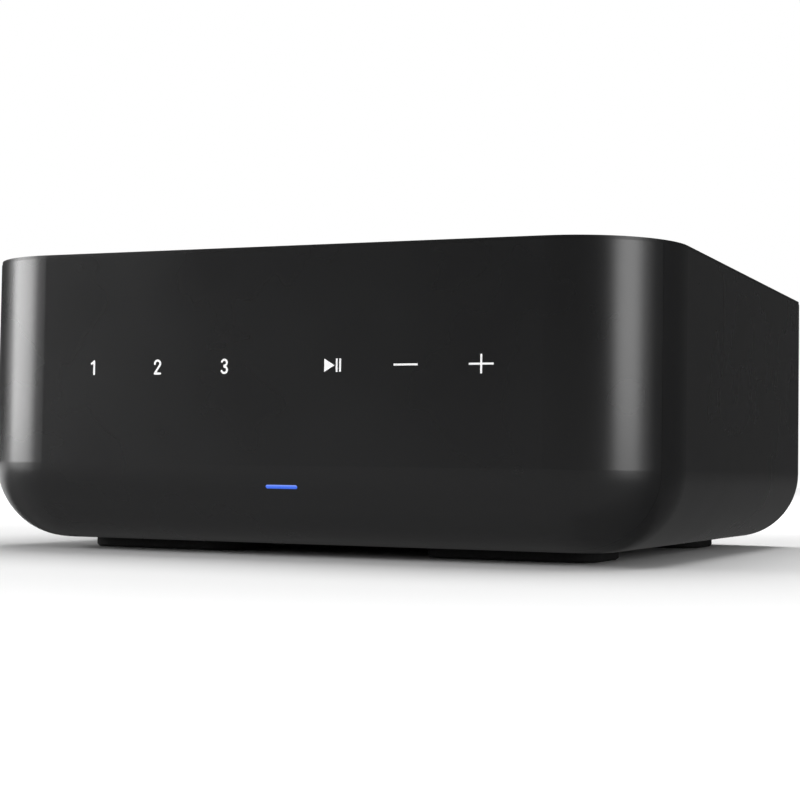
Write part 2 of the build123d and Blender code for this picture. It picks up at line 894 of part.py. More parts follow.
def make_data_insert():
    half = data_width / 2 - data_wall
    y_end = y_data_face - data_port_depth
    plug = block(data_middle - half, data_middle + half, y_data_face - data_depth, y_end,
                 z_upper_top + data_wall, z_data_top - data_wall)
    z_tongue = z_data_top - data_wall - data_tongue_drop
    return plug + block(data_middle - data_tongue_width / 2, data_middle + data_tongue_width / 2, y_end,
                        y_data_face - data_proud, z_tongue - data_tongue_thickness, z_tongue)


keep("data_shell", make_data_shell())
keep("data_insert", make_data_insert())


# Setup button and its switch
z_button = z_upper_top + switch_size / 2
y_button_collar = y_panel_in - button_gap
y_button_stem = y_button_collar - button_collar_length
y_switch = y_button_stem - button_travel - button_slack


def make_button():
    button = rod_y(button_middle, z_button, button_radius, y_button_collar, y_panel_out + button_proud)
    button = chamfer(button.edges().filter_by(GeomType.CIRCLE).sort_by(Axis.Y)[-1], button_chamfer)
    button += rod_y(button_middle, z_button, button_collar_radius, y_button_stem, y_button_collar)
    return button + rod_y(button_middle, z_button, button_stem_radius,
                          y_button_stem - button_stem_length, y_button_stem)


def make_switch():
    half = switch_size / 2
    case = block(button_middle - half, button_middle + half, y_switch - switch_length, y_switch,
                 z_upper_top, z_upper_top + switch_size)
    return case - rod_y(button_middle, z_button, button_stem_radius + core_running_gap,
                        y_button_stem - button_stem_length - button_travel - button_slack, y_switch + 1)


keep("setup_button", make_button())
keep("setup_switch", make_switch())


# Mains inlet
y_inlet_face = y_panel_out + inlet_flange_thickness
y_inlet_floor = y_inlet_face - inlet_recess


def make_inlet():
    half = inlet_width / 2
    body = block(inlet_middle - half, inlet_middle + half, y_panel_in - inlet_depth, y_panel_out,
                 inlet_level - inlet_height / 2, inlet_level + inlet_height / 2)
    body += block(inlet_middle - half, inlet_middle + half, y_panel_in - inlet_depth, y_board_rear,
                  z_board_top, inlet_level)
    plate = Plane(origin=(inlet_middle, y_panel_out, inlet_level), x_dir=(1, 0, 0), z_dir=(0, 1, 0))
    body += extrude(plate * RectangleRounded(inlet_width + 2 * inlet_flange, inlet_height + 2 * inlet_flange,
                                             inlet_flange), inlet_flange_thickness)
    for side in (-1, 1):
        body -= rod_y(inlet_middle + side * inlet_lobe_offset, inlet_level, inlet_lobe_radius,
                      y_inlet_floor, y_inlet_face + 1)
        body -= rod_y(inlet_middle + side * inlet_pin_offset, inlet_level, inlet_pin_radius + screw_fit,
                      y_inlet_floor - inlet_pin_tail, y_inlet_face)
    half_waist = inlet_waist_height / 2
    return body - block(inlet_middle - inlet_lobe_offset, inlet_middle + inlet_lobe_offset, y_inlet_floor,
                        y_inlet_face + 1, inlet_level - half_waist, inlet_level + half_waist)


def make_inlet_pin(side):
    x = inlet_middle + side * inlet_pin_offset
    return rod_y(x, inlet_level, inlet_pin_radius,
                 y_inlet_floor - inlet_pin_tail, y_inlet_floor + inlet_pin_length)


keep("mains_inlet", make_inlet())
keep("mains_inlet_pins", make_inlet_pin(-1), make_inlet_pin(1))


# Rear panel
def make_rear_panel():
    panel = case_form(wall + panel_gap, z_rim - panel_gap) & slab_y(y_panel_in, y_panel_out)
    for x, z in panel_side_bosses + panel_low_bosses + cover_tabs:
        panel -= rod_y(x, z, screw_radius + screw_hole_gap, y_panel_in - 1, y_panel_out + 1)
    round_holes = [(x, post_level, collar_radius) for x in posts.values()]
    round_holes += [(x, z, phono_radius) for x, z in phono_places]
    round_holes += [(button_middle, z_button, button_radius)]
    for x, z, radius in round_holes:
        panel -= rod_y(x, z, radius + socket_gap, y_panel_in - 1, y_panel_out + 1)
    square_holes = [
        (inlet_middle, inlet_level, inlet_width, inlet_height),
        (optical_middle, z_optical, optical_width, optical_height),
        (network_middle, z_upper_top + network_height / 2, network_width, network_height),
        (data_middle, z_upper_top + data_height / 2, data_width, data_height),
    ]
    for x, z, width, height in square_holes:
        half = width / 2 + socket_gap
        rise = height / 2 + socket_gap
        panel -= block(x - half, x + half, y_panel_in - 1, y_panel_out + 1, z - rise, z + rise)
    plane = Plane(origin=(0, y_panel_in - 1, 0), x_dir=(1, 0, 0), z_dir=(0, 1, 0))
    vent = Rot(0, 0, 90) * SlotOverall(panel_vent_height, panel_vent_width)
    for step in range(panel_vent_count):
        x = panel_vent_middle + (step - (panel_vent_count - 1) / 2) * panel_vent_pitch
        panel -= Pos(x, 0, panel_vent_level) * extrude(plane * vent, panel_thickness + 2)
    return panel


keep("rear_panel", make_rear_panel())
keep("rear_panel_screws", *[screw_front(x, y_panel_out, z, panel_screw_length)
                            for x, z in panel_side_bosses + panel_low_bosses + cover_tabs])
keep("case_screws", *[screw_up(x, y, case_boss_top - case_boss_roof, case_screw_length)
                      for x, y in case_screw_places])


# Touch board behind the fascia
def make_touch_board():
    half = touch_board_width / 2
    board = block(-half, half, y_touch_front, y_touch_back, touch_board_bottom, touch_board_top)
    for x, z in touch_bosses:
        board -= rod_y(x, z, screw_radius + screw_hole_gap, y_touch_front - 1, y_touch_back + 1)
    return board


def make_electrode(x):
    ring = rod_y(x, mark_height, electrode_radius, y_front_wall, y_touch_front)
    hole_radius = electrode_radius - electrode_wall
    return ring - rod_y(x, mark_height, hole_radius, y_front_wall - 1, y_touch_front + 1)


def make_led(x, z):
    half = led_size / 2
    return block(x - half, x + half, y_touch_front - led_height, y_touch_front, z - half, z + half)


keep("touch_board", make_touch_board())
keep("touch_electrodes", *[make_electrode(x) for x in mark_places])
keep("touch_leds", *[make_led(x, mark_height) for x in mark_places], make_led(light_offset, light_height))


# Lower boards
def make_board(x0, x1, y0, y1, z0, holes):
    board = block(x0, x1, y0, y1, z0, z0 + board_thickness)
    for x, y in holes:
        board -= rod_z(x, y, screw_radius + screw_hole_gap, z0 - 1, z0 + board_thickness + 1)
    return board


keep("power_board", make_board(
    power_board_left, power_board_right, y_board_front, y_board_rear, z_board, power_board_holes))
keep("main_board", make_board(
    main_board_left, main_board_right, y_board_front, y_board_rear, z_board,
    main_board_holes + upper_board_holes))
keep("upper_board", make_board(
    main_board_left, main_board_right, y_upper_front, y_board_rear, upper_board_level,
    upper_board_holes))


def make_standoff(x, y):
    sleeve = Pos(x, y, z_board_top) * extrude(
        RegularPolygon(standoff_radius, 6), upper_board_level - z_board_top)
    low = rod_z(x, y, screw_radius, z_board_top - inner_screw_length, z_board_top)
    pilot = rod_z(x, y, pilot_radius, z_upper_top - inner_screw_length - pilot_spare,
                  upper_board_level + 1)
    return sleeve + low - pilot


keep("board_standoffs", *[make_standoff(x, y) for x, y in upper_board_holes])
lower_board_holes = power_board_holes + main_board_holes
inner_screws = [screw_down(x, y, z_board_top, inner_screw_length) for x, y in lower_board_holes]
inner_screws += [screw_down(x, y, z_upper_top, inner_screw_length) for x, y in upper_board_holes]
inner_screws += [screw_down(x, y, tab_level + tab_thickness, inner_screw_length) for x, y in tab_bosses]
inner_screws += [screw_front(x, y_touch_back, z, inner_screw_length) for x, z in touch_bosses]
keep("inner_screws", *inner_screws)


# Power supply parts
def make_ring(x, y, outer_radius, hole_radius, height):
    ring = rod_z(x, y, outer_radius, z_board_top, z_board_top + height)
    return ring - rod_z(x, y, hole_radius, z_board_top - 1, z_board_top + height + 1)


def make_finned_sink(x0, x1, y0, y1, z0, base, height, fins, fin_thickness):
    sink = block(x0, x1, y0, y1, z0, z0 + base)
    for step in range(fins):
        x = x0 + step * (x1 - x0 - fin_thickness) / (fins - 1)
        sink += block(x, x + fin_thickness, y0, y1, z0, z0 + height)
    return sink


power_middle = (power_board_left + power_board_right) / 2
y_transformer = y_board_front + transformer_setback
z_transformer_top = z_board_top + transformer_height


def block_about(x, y, width, length, z0, z1):
    """A box centred on a point of the plan."""
    return block(x - width / 2, x + width / 2, y - length / 2, y + length / 2, z0, z1)


def make_transformer_core():
    core = block_about(power_middle, y_transformer, transformer_width, transformer_length,
                       z_board_top, z_transformer_top)
    return core - block_about(power_middle, y_transformer, transformer_width - 2 * transformer_leg,
                              transformer_length + 2, z_board_top - 1, z_transformer_top - transformer_leg)


def make_transformer_winding():
    winding = block_about(power_middle, y_transformer, transformer_window, winding_length,
                          z_board_top, z_transformer_top - transformer_leg - slip_gap)
    return fillet(winding.edges().filter_by(Axis.Z), winding_corner)


keep("transformer_core", make_transformer_core())
keep("transformer_winding", make_transformer_winding())
x_capacitor = power_board_left + capacitor_inset
y_capacitors = [y_board_front + capacitor_setback, y_board_front + capacitor_setback + capacitor_pitch]
z_capacitor_top = z_board_top + capacitor_height
keep("bulk_capacitors", *[rod_z(x_capacitor, y, capacitor_radius, z_board_top, z_capacitor_top)
                          for y in y_capacitors])
keep("filter_choke", make_ring(power_board_right - choke_inset, sum(y_capacitors) / 2, choke_radius,
                               choke_hole_radius, choke_height))
keep("power_heat_sink", make_finned_sink(
    power_board_left + sink_inset, power_board_right - sink_inset, y_board_front + sink_setback,
    y_board_front + sink_setback + power_sink_length, z_board_top, sink_base, power_sink_height,
    power_sink_fins, fin_thickness))


# Amplifier parts
y_chip = y_board_front + chip_setback
chips = [main_board_middle - chip_spread, main_board_middle + chip_spread]
keep("amp_chips", *[block_about(x, y_chip, chip_size, chip_size, z_board_top, z_board_top + chip_height)
                    for x in chips])
keep("amp_heat_sink", make_finned_sink(
    main_board_middle - amp_sink_width / 2, main_board_middle + amp_sink_width / 2,
    y_chip - amp_sink_length / 2, y_chip + amp_sink_length / 2, z_board_top + chip_height, sink_base,
    amp_sink_height, amp_sink_fins, fin_thickness))
inductors = [
    main_board_middle + (step - (inductor_count - 1) / 2) * inductor_pitch
    for step in range(inductor_count)
]
y_inductor = y_chip + inductor_setback
keep("output_inductors", *[block_about(x, y_inductor, inductor_size, inductor_size,
                                       z_board_top, z_board_top + inductor_height) for x in inductors])


# Upper board parts
y_module = y_upper_front + module_setback + module_length / 2
keep("wireless_module", block_about(module_middle, y_module, module_width, module_length,
                                    z_upper_top, z_upper_top + module_height))
keep("processor_chip", block_about(processor_middle, y_module, processor_size, processor_size,
                                   z_upper_top, z_upper_top + processor_height))
link_left = main_board_left + link_inset
keep("board_link", block(link_left, link_left + link_width, y_upper_front + link_setback,
                         y_upper_front + link_setback + link_length, z_board_top, upper_board_level))


# Antennas on the side walls, and their leads to the wireless module
antenna_inner = x_side - wall - antenna_thickness - slip_gap
y_antenna = y_front + antenna_setback
z_antenna_middle = antenna_level + antenna_height / 2


def make_antenna(side):
    near = side * antenna_inner
    wide = side * (antenna_inner + antenna_thickness)
    return block(min(near, wide), max(near, wide), y_antenna, y_antenna + antenna_length,
                 antenna_level, antenna_level + antenna_height)


def make_antenna_lead(side):
    x_start = side * (antenna_inner - lead_radius - slip_gap)
    y_start = y_antenna + antenna_length - antenna_height
    x_end = module_middle + side * module_width / 4
    z_end = z_upper_top + module_height + slip_gap
    points = [
        (x_start, y_start, z_antenna_middle),
        (x_start, y_start + lead_bend, z_antenna_middle),
        (x_start, y_start + 2 * lead_bend, lead_level),
        (x_start - side * lead_bend, y_module - lead_bend, lead_level),
        (x_end, y_module, lead_level),
        (x_end, y_module, z_end),
    ]
    route = FilletPolyline(*points, radius=lead_turn)
    start = Plane(origin=route @ 0, z_dir=route % 0)
    return sweep(start * Circle(lead_radius), route)


keep("antennas", make_antenna(-1), make_antenna(1), make_antenna_lead(-1), make_antenna_lead(1))


# Ribbon from the touch board to the upper board
def make_ribbon():
    z_end = z_upper_top + ribbon_thickness
    y_start = y_touch_back
    points = [
        (y_start, ribbon_low),
        (y_start + ribbon_run, ribbon_low),
        (y_start + 2 * ribbon_run, ribbon_high),
        (y_upper_front - ribbon_run, ribbon_high),
        (y_upper_front, z_end),
        (y_upper_front + ribbon_run / 2, z_end),
    ]
    strip = trace(FilletPolyline(*points, radius=ribbon_turn), ribbon_thickness)
    return extrude(Plane.YZ.offset(ribbon_middle - ribbon_width / 2) * strip, ribbon_width)


keep("touch_ribbon", make_ribbon())


# Lead that carries the supply from the power board to the main board
def make_supply_wire(step):
    y = y_board_front + supply_setback + step * supply_pitch
    x0 = power_board_right - supply_inset
    x1 = main_board_left + supply_inset
    points = [(x0, y, z_board_top), (x0, y, z_board_top + supply_rise),
              (x1, y, z_board_top + supply_rise), (x1, y, z_board_top)]
    route = FilletPolyline(*points, radius=supply_turn)
    start = Plane(origin=route @ 0, z_dir=route % 0)
    return sweep(start * Circle(supply_radius), route)


keep("supply_lead", *[make_supply_wire(step) for step in range(supply_wires)])
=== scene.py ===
import json
import math

import bpy
from mathutils import Matrix, Vector


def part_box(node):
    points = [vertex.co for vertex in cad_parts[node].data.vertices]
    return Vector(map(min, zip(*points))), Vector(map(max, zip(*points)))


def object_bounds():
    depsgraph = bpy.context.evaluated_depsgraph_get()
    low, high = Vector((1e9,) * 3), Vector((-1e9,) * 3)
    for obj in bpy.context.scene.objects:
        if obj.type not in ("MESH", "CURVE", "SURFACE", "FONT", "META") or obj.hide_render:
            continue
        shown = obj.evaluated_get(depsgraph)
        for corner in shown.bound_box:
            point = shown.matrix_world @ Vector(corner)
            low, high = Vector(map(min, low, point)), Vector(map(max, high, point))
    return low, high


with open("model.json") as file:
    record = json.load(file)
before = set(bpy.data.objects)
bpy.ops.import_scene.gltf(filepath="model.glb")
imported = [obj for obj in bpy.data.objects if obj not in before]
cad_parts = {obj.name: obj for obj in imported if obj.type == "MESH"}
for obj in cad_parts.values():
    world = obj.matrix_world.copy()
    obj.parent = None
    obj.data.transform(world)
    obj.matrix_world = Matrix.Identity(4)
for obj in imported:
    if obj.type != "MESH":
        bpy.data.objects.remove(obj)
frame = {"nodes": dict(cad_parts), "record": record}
cad_low, cad_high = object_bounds()
nodes = frame["nodes"]

# Driving sizes, in metres
MM = 0.001
MICRON = 0.000001
FRONT = cad_low.y
FOOT_HEIGHT = 3.0 * MM

# Values that the materials share
COAT_ROUGHNESS = 0.12
NOISE_LOW = 0.3
NOISE_HIGH = 0.7
SPECK_EDGE = 0.06
BAND_AT_SCALE_ONE = 0.314

# Status light glow, from its lower to its upper edge; the pale upper colour is a painted highlight
LIGHT_DEEP = (0.02, 0.08, 0.5)
LIGHT_BLUE = (0.05, 0.15, 0.8)
LIGHT_PAINTED_HIGHLIGHT = (0.25, 0.36, 0.92)
LIGHT_GLOW = 0.8
MARK_GLOW = 0.2

# Floor and world
FLOOR_WIDTH = 6.0
FLOOR_GREY = 0.75
FLOOR_GLOW = 0.6
FLOOR_GLOW_FROM = 0.15
FLOOR_GLOW_TO = 0.45
WORLD_LIGHT = 0.33
WORLD_SEEN = 1.0

# Lamps aim at the middle of the case, and the flat cards lie just above the floor
LAMP_AIM = Vector((0, 0, 0.04))
CARD_LIFT = 0.0005

# Camera, solved from the photograph's perspective
YAW = 0.40326
PITCH = 0.04
ROLL = 0.015
FOCAL_PIXELS = 1763.0
IMAGE_PIXELS = 800
SENSOR_MM = 36.0
CLIP_START = 0.01
CAMERA_BEFORE_FRONT = (206.7 * MM, -404.0 * MM, 20.05 * MM)


def grey(level):
    return (level, level, level)


def add_node(tree, kind, values=None):
    """A new node with these values on its inputs."""
    node = tree.nodes.new(kind)
    for socket, value in (values or {}).items():
        node.inputs[socket].default_value = value
    return node


def object_space(tree):
    return add_node(tree, "ShaderNodeTexCoord").outputs["Object"]


def shader(name, color, roughness, specular=0.5, metallic=0.0, coat=0.0):
    """A new node material with its main shader."""
    material = bpy.data.materials.new(name)
    material.use_nodes = True
    bsdf = material.node_tree.nodes["Principled BSDF"]
    bsdf.inputs["Base Color"].default_value = (*color, 1)
    bsdf.inputs["Roughness"].default_value = roughness
    bsdf.inputs["Specular IOR Level"].default_value = specular
    bsdf.inputs["Metallic"].default_value = metallic
    bsdf.inputs["Coat Weight"].default_value = coat
    bsdf.inputs["Coat Roughness"].default_value = COAT_ROUGHNESS
    return material, bsdf


def noise(tree, place, scale, detail=3, roughness=0.5, stretch=(1, 1, 1)):
    """A noise in the object's own space, drawn out along an axis by stretch."""
    mapping = add_node(tree, "ShaderNodeMapping", {"Scale": stretch})
    texture = add_node(tree, "ShaderNodeTexNoise", {"Scale": scale, "Detail": detail, "Roughness": roughness})
    tree.links.new(place, mapping.inputs["Vector"])
    tree.links.new(mapping.outputs["Vector"], texture.inputs["Vector"])
    return texture


def spread_of(tree, texture, low, high):
    """Maps a noise's middle range to the values from low to high."""
    level = add_node(tree, "ShaderNodeMapRange",
                     {"From Min": NOISE_LOW, "From Max": NOISE_HIGH, "To Min": low, "To Max": high})
    tree.links.new(texture.outputs["Fac"], level.inputs["Value"])
    return level


def ramp(tree, source, stops):
    """A colour ramp with stops of (place, colour)."""
    shade = add_node(tree, "ShaderNodeValToRGB")
    elements = shade.color_ramp.elements
    for place, color in stops[1:-1]:
        elements.new(place)
    for element, (place, color) in zip(elements, stops):
        element.position = place
        element.color = (*color, 1)
    tree.links.new(source, shade.inputs["Fac"])
    return shade


def bumped(tree, bsdf, texture, height):
    bump = add_node(tree, "ShaderNodeBump", {"Strength": 1.0, "Distance": height})
    tree.links.new(texture.outputs["Fac"], bump.inputs["Height"])
    tree.links.new(bump.outputs["Normal"], bsdf.inputs["Normal"])


def grained(name, color, roughness, scale=2600, height=10 * MICRON, spread=0.15, rough_spread=0.03,
            wide_scale=28, stretch=(1, 1, 1), **looks):
    """A surface with a fine grain in colour and height, and a wide drift in roughness."""
    material, bsdf = shader(name, color, roughness, **looks)
    tree = material.node_tree
    place = object_space(tree)
    fine = noise(tree, place, scale, 4, 0.6, stretch)
    wide = noise(tree, place, wide_scale)
    dark = [c * (1 - spread) for c in color]
    light = [min(c * (1 + spread), 1) for c in color]
    shade = ramp(tree, fine.outputs["Fac"], [(NOISE_LOW, dark), (NOISE_HIGH, light)])
    tree.links.new(shade.outputs["Color"], bsdf.inputs["Base Color"])
    rough = spread_of(tree, wide, roughness - rough_spread, roughness + rough_spread)
    tree.links.new(rough.outputs["Result"], bsdf.inputs["Roughness"])
    bumped(tree, bsdf, fine, height)
    return material


def moulded(name, color, roughness, scale, spread=0.12):
    """Smooth moulded plastic under a thin gloss."""
    return grained(name, color, roughness, scale=scale, height=4 * MICRON, spread=spread, coat=0.2)


def brushed(name, color, roughness, stretch):
    """Metal with fine lines drawn out along the axis that stretch leaves small."""
    return grained(name, color, roughness, scale=500, height=2 * MICRON, spread=0.1, rough_spread=0.08,
                   wide_scale=60, stretch=stretch, metallic=1.0)


def plated(name, color, roughness):
    """Smooth plated metal with faint haze and tiny pits."""
    return grained(name, color, roughness, scale=900, height=MICRON, spread=0.06, rough_spread=0.05,
                   wide_scale=120, metallic=1.0)


def speckled(name, color, speck, roughness, scale, share):
    """A base colour with small specks of another one."""
    material, bsdf = shader(name, color, roughness)
    tree = material.node_tree
    fine = noise(tree, object_space(tree), scale, 2)
    shade = ramp(tree, fine.outputs["Fac"], [(share, color), (share + SPECK_EDGE, speck)])
    tree.links.new(shade.outputs["Color"], bsdf.inputs["Base Color"])
    bumped(tree, bsdf, fine, 6 * MICRON)
    return material


def circuit_board(name, mask, copper, silk):
    """Solder mask with copper runs showing through and small printed dashes."""
    material, bsdf = shader(name, mask, 0.32, coat=0.3)
    tree = material.node_tree
    place = object_space(tree)
    runs = add_node(tree, "ShaderNodeTexBrick", {
        "Scale": 260,
        "Mortar Size": 0.012,
        "Brick Width": 1.7,
        "Row Height": 0.42,
        "Color1": (*mask, 1),
        "Color2": (*[c * 0.85 for c in mask], 1),
        "Mortar": (*copper, 1),
    })
    tree.links.new(place, runs.inputs["Vector"])
    marks = noise(tree, place, 300, 1, 0.5, (1, 3, 1))
    share = ramp(tree, marks.outputs["Fac"], [(0.69, grey(0)), (0.71, grey(1))])
    mix = add_node(tree, "ShaderNodeMix")
    mix.data_type = "RGBA"
    mix.inputs["B"].default_value = (*silk, 1)
    tree.links.new(share.outputs["Color"], mix.inputs["Factor"])
    tree.links.new(runs.outputs["Color"], mix.inputs["A"])
    tree.links.new(mix.outputs["Result"], bsdf.inputs["Base Color"])
    bumped(tree, bsdf, marks, 4 * MICRON)
    return material


def lit_bar(name, low, high):
    """A light pipe that glows, darker towards its lower edge and a little paler along its upper edge, where
    the paler glow is a painted highlight.
    """
    material, bsdf = shader(name, (0.03, 0.08, 0.4), 0.3)
    tree = material.node_tree
    parts = add_node(tree, "ShaderNodeSeparateXYZ")
    tree.links.new(object_space(tree), parts.inputs["Vector"])
    height = add_node(tree, "ShaderNodeMapRange", {"From Min": low.z, "From Max": high.z})
    tree.links.new(parts.outputs["Z"], height.inputs["Value"])
    # Glow by height: darker towards the lower edge, with a painted highlight along the upper edge
    stops = [(0.0, LIGHT_DEEP), (0.55, LIGHT_BLUE), (0.95, LIGHT_PAINTED_HIGHLIGHT)]
    glow = ramp(tree, height.outputs["Result"], stops)
    tree.links.new(glow.outputs["Color"], bsdf.inputs["Emission Color"])
    bsdf.inputs["Emission Strength"].default_value = LIGHT_GLOW
    return material


def lit_mark(name):
    """White ink that glows a little."""
    material, bsdf = shader(name, grey(0.9), 0.4)
    tree = material.node_tree
    fine = noise(tree, object_space(tree), 1800)
    shade = ramp(tree, fine.outputs["Fac"], [(NOISE_LOW, grey(0.86)), (NOISE_HIGH, grey(0.93))])
    tree.links.new(shade.outputs["Color"], bsdf.inputs["Base Color"])
    bsdf.inputs["Emission Color"].default_value = (1, 1, 1, 1)
    bsdf.inputs["Emission Strength"].default_value = MARK_GLOW
    return material


def wound(name, color, between, pitch):
    """Turns of wire or tape side by side, in bands along z."""
    material, bsdf = shader(name, color, 0.3, coat=0.4)
    tree = material.node_tree
    bands = add_node(tree, "ShaderNodeTexWave", {"Scale": BAND_AT_SCALE_ONE / pitch, "Distortion": 0.4})
    bands.bands_direction = "Z"
    tree.links.new(object_space(tree), bands.inputs["Vector"])
    shade = ramp(tree, bands.outputs["Fac"], [(0.05, between), (0.4, color)])
    tree.links.new(shade.outputs["Color"], bsdf.inputs["Base Color"])
    bumped(tree, bsdf, bands, 150 * MICRON)
    return material


# How each material slot is made, with what its maker is told
LOOKS = {
    "case_black": (grained, dict(color=(0.008, 0.008, 0.0084), roughness=0.28, height=4 * MICRON,
                                 rough_spread=0.02)),
    "cover_black": (grained, dict(color=(0.006, 0.006, 0.0063), roughness=0.34, specular=0.4)),
    "foot_rubber": (grained, dict(color=grey(0.013), roughness=0.75, scale=1500, height=20 * MICRON,
                                  spread=0.3, specular=0.15)),
    "panel_black": (grained, dict(color=(0.012, 0.012, 0.0125), roughness=0.5, scale=1300,
                                  height=40 * MICRON, spread=0.25, rough_spread=0.05)),
    "screw_black": (grained, dict(color=(0.03, 0.03, 0.032), roughness=0.34, scale=700, height=3 * MICRON,
                                  spread=0.2, rough_spread=0.08, metallic=0.8)),
    "screw_steel": (brushed, dict(color=(0.5, 0.5, 0.51), roughness=0.32, stretch=(1, 1, 6))),
    "mark_white": (lit_mark, dict()),
    "status_blue": (lit_bar, dict(zip(("low", "high"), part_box("status_light_bar")))),
    "board_green": (circuit_board, dict(mask=(0.012, 0.09, 0.03), copper=(0.05, 0.2, 0.06),
                                        silk=(0.75, 0.75, 0.7))),
    "board_black": (circuit_board, dict(mask=(0.012, 0.012, 0.013), copper=(0.03, 0.03, 0.028),
                                        silk=grey(0.7))),
    "chip_black": (speckled, dict(color=grey(0.012), speck=grey(0.03), roughness=0.55, scale=2200,
                                  share=0.6)),
    "led_white": (grained, dict(color=(0.85, 0.85, 0.78), roughness=0.2, scale=800, height=2 * MICRON,
                                spread=0.04, coat=0.5)),
    "foam_grey": (grained, dict(color=(0.16, 0.16, 0.165), roughness=0.85, scale=1100, height=120 * MICRON,
                                spread=0.45, specular=0.2)),
    "can_black": (grained, dict(color=(0.015, 0.015, 0.02), roughness=0.22, scale=600, height=4 * MICRON,
                                coat=0.4)),
    "ferrite_grey": (speckled, dict(color=(0.045, 0.045, 0.047), speck=grey(0.09), roughness=0.62,
                                    scale=1600, share=0.58)),
    "winding_amber": (wound, dict(color=(0.62, 0.4, 0.06), between=(0.3, 0.16, 0.02), pitch=1.2 * MM)),
    "choke_green": (wound, dict(color=(0.03, 0.2, 0.06), between=(0.3, 0.12, 0.04), pitch=0.9 * MM)),
    "sink_aluminium": (brushed, dict(color=(0.5, 0.5, 0.51), roughness=0.42, stretch=(1, 1, 8))),
    "shield_steel": (brushed, dict(color=(0.58, 0.58, 0.6), roughness=0.3, stretch=(8, 1, 1))),
    "ribbon_white": (grained, dict(color=(0.72, 0.72, 0.7), roughness=0.35, scale=260, height=40 * MICRON,
                                   spread=0.1, stretch=(6, 0.3, 1))),
    "wire_red": (grained, dict(color=(0.45, 0.015, 0.012), roughness=0.45, scale=900, spread=0.12)),
    "antenna_black": (grained, dict(color=grey(0.02), roughness=0.35, scale=900, spread=0.2)),
    "brass_nickel": (plated, dict(color=(0.66, 0.65, 0.62), roughness=0.22)),
    "gold_plate": (plated, dict(color=(0.83, 0.56, 0.2), roughness=0.2)),
    "terminal_black": (moulded, dict(color=grey(0.01), roughness=0.26, scale=1400, spread=0.2)),
    "terminal_red": (moulded, dict(color=(0.42, 0.012, 0.01), roughness=0.26, scale=1400)),
    "socket_black": (grained, dict(color=grey(0.009), roughness=0.44, scale=1900, height=12 * MICRON,
                                   spread=0.25)),
    "insert_white": (moulded, dict(color=(0.8, 0.8, 0.79), roughness=0.28, scale=1200, spread=0.04)),
    "insert_red": (moulded, dict(color=(0.5, 0.015, 0.012), roughness=0.28, scale=1200)),
    "insert_purple": (moulded, dict(color=(0.12, 0.025, 0.22), roughness=0.28, scale=1200)),
    "button_grey": (grained, dict(color=(0.06, 0.06, 0.062), roughness=0.42, scale=1800, spread=0.2)),
}
slot_looks = {name: maker(name, **values) for name, (maker, values) in LOOKS.items()}

for part in frame["record"]["subparts"]:
    mesh = nodes[part["node"]].data
    mesh.materials.clear()
    mesh.materials.append(slot_looks[part["material_slot"]])


# White background, which metal and gloss show as well
def background_rays(tree):
    """1 for rays from the camera and for rays that gloss or glass sends on, 0 for others."""
    paths = add_node(tree, "ShaderNodeLightPath")
    rays = paths.outputs["Is Camera Ray"]
    for kind in ("Is Glossy Ray", "Is Transmission Ray"):
        either = add_node(tree, "ShaderNodeMath")
        either.operation = "MAXIMUM"
        tree.links.new(rays, either.inputs[0])
        tree.links.new(paths.outputs[kind], either.inputs[1])
        rays = either.outputs["Value"]
    return rays


# Floor, which glows to white away from the object and keeps its real shadow near it. The glow only rises with
# distance from the object's middle, so the floor near the object is also darker by painted shade.
bpy.ops.mesh.primitive_plane_add(size=FLOOR_WIDTH, location=(0, 0, 0))
floor = bpy.context.object
floor.name = "floor"
floor_look, floor_bsdf = shader("floor", grey(FLOOR_GREY), 0.9, specular=0.1)
floor_bsdf.inputs["Emission Color"].default_value = (1, 1, 1, 1)
floor_tree = floor_look.node_tree
floor_length = add_node(floor_tree, "ShaderNodeVectorMath")
floor_length.operation = "LENGTH"
floor_tree.links.new(object_space(floor_tree), floor_length.inputs[0])
# Glow strength by distance from the object: none near it, which paints shade around the object on top of its
# real shadow
floor_glow_falloff = add_node(floor_tree, "ShaderNodeMapRange", {
    "From Min": FLOOR_GLOW_FROM,
    "From Max": FLOOR_GLOW_TO,
    "To Max": FLOOR_GLOW,
})
floor_glow_falloff.interpolation_type = "SMOOTHSTEP"
floor_tree.links.new(floor_length.outputs["Value"], floor_glow_falloff.inputs["Value"])
floor_seen = add_node(floor_tree, "ShaderNodeMath")
floor_seen.operation = "MULTIPLY"
floor_tree.links.new(background_rays(floor_tree), floor_seen.inputs[0])
floor_tree.links.new(floor_glow_falloff.outputs["Result"], floor_seen.inputs[1])
floor_tree.links.new(floor_seen.outputs["Value"], floor_bsdf.inputs["Emission Strength"])
floor.data.materials.append(floor_look)

# World
world = bpy.data.worlds.new("world")
bpy.context.scene.world = world
world.use_nodes = True
world_tree = world.node_tree
background = world_tree.nodes["Background"]
background.inputs["Color"].default_value = (1, 1, 1, 1)
level = add_node(world_tree, "ShaderNodeMapRange", {"To Min": WORLD_LIGHT, "To Max": WORLD_SEEN})
world_tree.links.new(background_rays(world_tree), level.inputs["Value"])
world_tree.links.new(level.outputs["Result"], background.inputs["Strength"])


# Lamps, and dark cards that only gloss shows, which paint reflections
def around(azimuth, distance, height):
    """A place around the object. Azimuth 0 is before its front, and 90 is to its right."""
    turn = math.radians(azimuth)
    return (distance * math.sin(turn), -distance * math.cos(turn), height)


def softbox(name, azimuth, distance, width, height, centre_height, radiance):
    place = around(azimuth, distance, centre_height)
    data = bpy.data.lights.new(name, "AREA")
    data.shape = "RECTANGLE"
    data.size = width
    data.size_y = height
    data.energy = radiance * math.pi * width * height
    lamp = bpy.data.objects.new(name, data)
    bpy.context.scene.collection.objects.link(lamp)
    lamp.location = place
    lamp.rotation_euler = (LAMP_AIM - Vector(place)).to_track_quat("-Z", "Y").to_euler()


